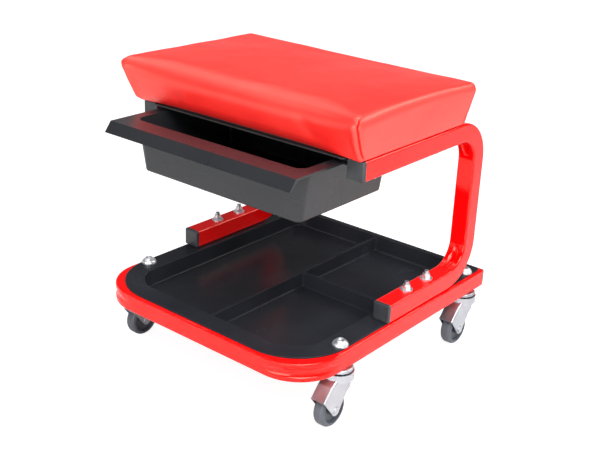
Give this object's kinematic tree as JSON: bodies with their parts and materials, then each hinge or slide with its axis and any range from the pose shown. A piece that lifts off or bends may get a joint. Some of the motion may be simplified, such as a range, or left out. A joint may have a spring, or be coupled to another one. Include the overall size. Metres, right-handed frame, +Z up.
{
  "type": "rolling creeper seat",
  "caption": "Low rolling workshop seat: padded seat on two bent square-tube frames over a sliding drawer and a tool tray with swivel casters.",
  "frame": {"origin": "on the floor, midway between the drawer's lip and the rear of the base, on the left-right centre line", "axes": "+Z up, -Y towards the drawer's opening side, +X to the right seen from the drawer's side; the plugged ends of the base tube face +Y"},
  "size_m": [0.3806, 0.4004, 0.3928],
  "materials": {
    "red_paint": "gloss",
    "black_plastic": "satin",
    "drawer_plastic": "satin",
    "red_vinyl": "satin vinyl",
    "foam": "matte",
    "plywood": "raw",
    "grey_board": "matte",
    "zinc": "bright zinc plate",
    "wheel_tread": "satin"
  },
  "bodies": {
    "frame": {"base_tube": "red_paint", "rear_cross_bar": "red_paint", "base_plugs": "black_plastic", "tool_tray": "black_plastic", "left_c_frame": "red_paint", "right_c_frame": "red_paint", "upper_arm_plugs": "black_plastic", "lower_arm_plugs": "black_plastic", "frame_bolts": "zinc", "frame_washers": "zinc", "frame_nuts": "zinc", "seat_cover": "red_vinyl", "seat_foam": "foam", "seat_board": "plywood", "seat_panel": "grey_board", "panel_screws": "zinc", "seat_bolts": "zinc", "seat_tee_nuts": "zinc", "left_runner": "black_plastic", "right_runner": "black_plastic", "runner_screws": "zinc", "front_left_caster_stem": "zinc", "front_left_caster_race": "zinc", "front_left_caster_washer": "zinc", "front_left_caster_nut": "zinc", "front_right_caster_stem": "zinc", "front_right_caster_race": "zinc", "front_right_caster_washer": "zinc", "front_right_caster_nut": "zinc", "rear_left_caster_stem": "zinc", "rear_left_caster_race": "zinc", "rear_left_caster_washer": "zinc", "rear_left_caster_nut": "zinc", "rear_right_caster_stem": "zinc", "rear_right_caster_race": "zinc", "rear_right_caster_washer": "zinc", "rear_right_caster_nut": "zinc"},
    "drawer": {"drawer": "drawer_plastic"},
    "front_left_caster_swivel": {"front_left_caster_fork": "zinc", "front_left_caster_axle": "zinc", "front_left_caster_balls": "zinc"},
    "front_left_caster_wheel": {"front_left_caster_wheel": "wheel_tread"},
    "front_right_caster_swivel": {"front_right_caster_fork": "zinc", "front_right_caster_axle": "zinc", "front_right_caster_balls": "zinc"},
    "front_right_caster_wheel": {"front_right_caster_wheel": "wheel_tread"},
    "rear_left_caster_swivel": {"rear_left_caster_fork": "zinc", "rear_left_caster_axle": "zinc", "rear_left_caster_balls": "zinc"},
    "rear_left_caster_wheel": {"rear_left_caster_wheel": "wheel_tread"},
    "rear_right_caster_swivel": {"rear_right_caster_fork": "zinc", "rear_right_caster_axle": "zinc", "rear_right_caster_balls": "zinc"},
    "rear_right_caster_wheel": {"rear_right_caster_wheel": "wheel_tread"}
  },
  "joints": [
    {"name": "drawer_slide", "type": "slide", "parent": "frame", "child": "drawer", "axis": [0, -1, 0], "range_m": [-0.066, 0.076]},
    {"name": "front_left_caster_swivel", "type": "hinge", "parent": "frame", "child": "front_left_caster_swivel", "pos_m": [-0.169, -0.11725, 0.07], "axis": [0, 0, 1], "continuous": true},
    {"name": "front_left_caster_spin", "type": "hinge", "parent": "front_left_caster_swivel", "child": "front_left_caster_wheel", "pos_m": [-0.169, -0.13325, 0.023], "axis": [1, 0, 0], "continuous": true},
    {"name": "front_right_caster_swivel", "type": "hinge", "parent": "frame", "child": "front_right_caster_swivel", "pos_m": [0.169, -0.11725, 0.07], "axis": [0, 0, 1], "continuous": true},
    {"name": "front_right_caster_spin", "type": "hinge", "parent": "front_right_caster_swivel", "child": "front_right_caster_wheel", "pos_m": [0.169, -0.13325, 0.023], "axis": [1, 0, 0], "continuous": true},
    {"name": "rear_left_caster_swivel", "type": "hinge", "parent": "frame", "child": "rear_left_caster_swivel", "pos_m": [-0.169, 0.16775, 0.07], "axis": [0, 0, 1], "continuous": true},
    {"name": "rear_left_caster_spin", "type": "hinge", "parent": "rear_left_caster_swivel", "child": "rear_left_caster_wheel", "pos_m": [-0.169, 0.15175, 0.023], "axis": [1, 0, 0], "continuous": true},
    {"name": "rear_right_caster_swivel", "type": "hinge", "parent": "frame", "child": "rear_right_caster_swivel", "pos_m": [0.169, 0.16775, 0.07], "axis": [0, 0, 1], "continuous": true},
    {"name": "rear_right_caster_spin", "type": "hinge", "parent": "rear_right_caster_swivel", "child": "rear_right_caster_wheel", "pos_m": [0.169, 0.15175, 0.023], "axis": [1, 0, 0], "continuous": true}
  ]
}
